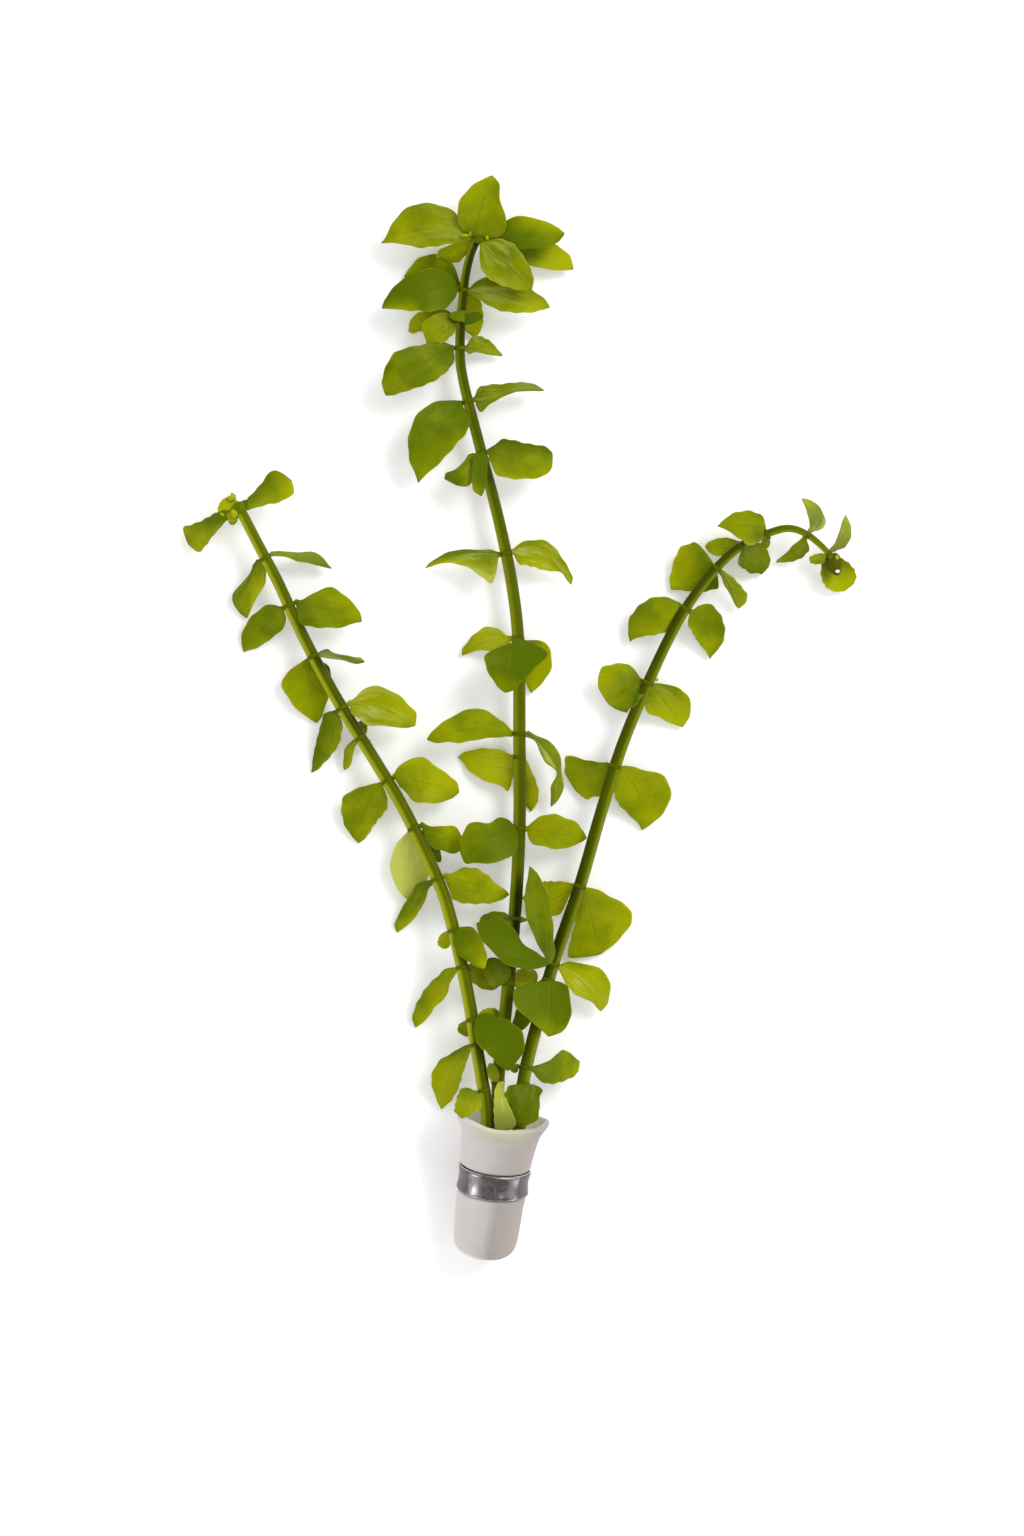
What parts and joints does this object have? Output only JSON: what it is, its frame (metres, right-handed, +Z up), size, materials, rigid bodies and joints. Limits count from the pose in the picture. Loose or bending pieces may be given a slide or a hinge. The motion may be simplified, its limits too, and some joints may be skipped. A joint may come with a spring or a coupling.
{
  "type": "aquarium plant bunch",
  "caption": "Loose bunch of a fleshy-leaved water plant, its cut stems held in a soft foam collar by a bent metal strip, lying down.",
  "frame": {"origin": "the middle of the bounding box, at the surface that the bunch lies on", "axes": "+X to the right and +Y towards the growing tips, as seen from above; +Z up from the surface"},
  "size_m": [0.1478, 0.2368, 0.0219],
  "materials": {
    "middle_stem": "satin, olive green",
    "middle_leaves_01": "satin, fleshy, yellow-green",
    "middle_leaves_02": "satin, fleshy, yellow-green",
    "middle_leaves_03": "satin, fleshy, yellow-green",
    "middle_leaves_04": "satin, fleshy, yellow-green",
    "middle_leaves_05": "satin, fleshy, yellow-green",
    "middle_leaves_06": "satin, fleshy, yellow-green",
    "middle_leaves_07": "satin, fleshy, yellow-green",
    "middle_leaves_08": "satin, fleshy, yellow-green",
    "middle_leaves_09": "satin, fleshy, yellow-green",
    "middle_leaves_10": "satin, fleshy, yellow-green",
    "middle_leaves_11": "satin, fleshy, yellow-green",
    "middle_leaves_12": "satin, fleshy, yellow-green",
    "middle_leaves_13": "satin, fleshy, yellow-green",
    "middle_leaves_14": "satin, fleshy, yellow-green",
    "left_stem": "satin, olive green",
    "left_leaves_01": "satin, fleshy, yellow-green",
    "left_leaves_02": "satin, fleshy, yellow-green",
    "left_leaves_03": "satin, fleshy, yellow-green",
    "left_leaves_04": "satin, fleshy, yellow-green",
    "left_leaves_05": "satin, fleshy, yellow-green",
    "left_leaves_06": "satin, fleshy, yellow-green",
    "left_leaves_07": "satin, fleshy, yellow-green",
    "left_leaves_08": "satin, fleshy, yellow-green",
    "left_leaves_09": "satin, fleshy, yellow-green",
    "left_leaves_10": "satin, fleshy, yellow-green",
    "left_leaves_11": "satin, fleshy, yellow-green",
    "left_leaves_12": "satin, fleshy, yellow-green",
    "left_leaves_13": "satin, fleshy, yellow-green",
    "left_leaves_14": "satin, fleshy, yellow-green",
    "right_stem": "satin, olive green",
    "right_leaves_01": "satin, fleshy, yellow-green",
    "right_leaves_02": "satin, fleshy, yellow-green",
    "right_leaves_03": "satin, fleshy, yellow-green",
    "right_leaves_04": "satin, fleshy, yellow-green",
    "right_leaves_05": "satin, fleshy, yellow-green",
    "right_leaves_06": "satin, fleshy, yellow-green",
    "right_leaves_07": "satin, fleshy, yellow-green",
    "right_leaves_08": "satin, fleshy, yellow-green",
    "right_leaves_09": "satin, fleshy, yellow-green",
    "right_leaves_10": "satin, fleshy, yellow-green",
    "right_leaves_11": "satin, fleshy, yellow-green",
    "right_leaves_12": "satin, fleshy, yellow-green",
    "right_leaves_13": "satin, fleshy, yellow-green",
    "foam_collar": "matt, soft, greyish white",
    "lead_strip": "dull grey metal with light worn edges"
  },
  "bodies": {
    "root": {"middle_stem": "middle_stem", "middle_leaves_01": "middle_leaves_01", "middle_leaves_02": "middle_leaves_02", "middle_leaves_03": "middle_leaves_03", "middle_leaves_04": "middle_leaves_04", "middle_leaves_05": "middle_leaves_05", "middle_leaves_06": "middle_leaves_06", "middle_leaves_07": "middle_leaves_07", "middle_leaves_08": "middle_leaves_08", "middle_leaves_09": "middle_leaves_09", "middle_leaves_10": "middle_leaves_10", "middle_leaves_11": "middle_leaves_11", "middle_leaves_12": "middle_leaves_12", "middle_leaves_13": "middle_leaves_13", "middle_leaves_14": "middle_leaves_14", "left_stem": "left_stem", "left_leaves_01": "left_leaves_01", "left_leaves_02": "left_leaves_02", "left_leaves_03": "left_leaves_03", "left_leaves_04": "left_leaves_04", "left_leaves_05": "left_leaves_05", "left_leaves_06": "left_leaves_06", "left_leaves_07": "left_leaves_07", "left_leaves_08": "left_leaves_08", "left_leaves_09": "left_leaves_09", "left_leaves_10": "left_leaves_10", "left_leaves_11": "left_leaves_11", "left_leaves_12": "left_leaves_12", "left_leaves_13": "left_leaves_13", "left_leaves_14": "left_leaves_14", "right_stem": "right_stem", "right_leaves_01": "right_leaves_01", "right_leaves_02": "right_leaves_02", "right_leaves_03": "right_leaves_03", "right_leaves_04": "right_leaves_04", "right_leaves_05": "right_leaves_05", "right_leaves_06": "right_leaves_06", "right_leaves_07": "right_leaves_07", "right_leaves_08": "right_leaves_08", "right_leaves_09": "right_leaves_09", "right_leaves_10": "right_leaves_10", "right_leaves_11": "right_leaves_11", "right_leaves_12": "right_leaves_12", "right_leaves_13": "right_leaves_13", "foam_collar": "foam_collar", "lead_strip": "lead_strip"}
  },
  "joints": []
}
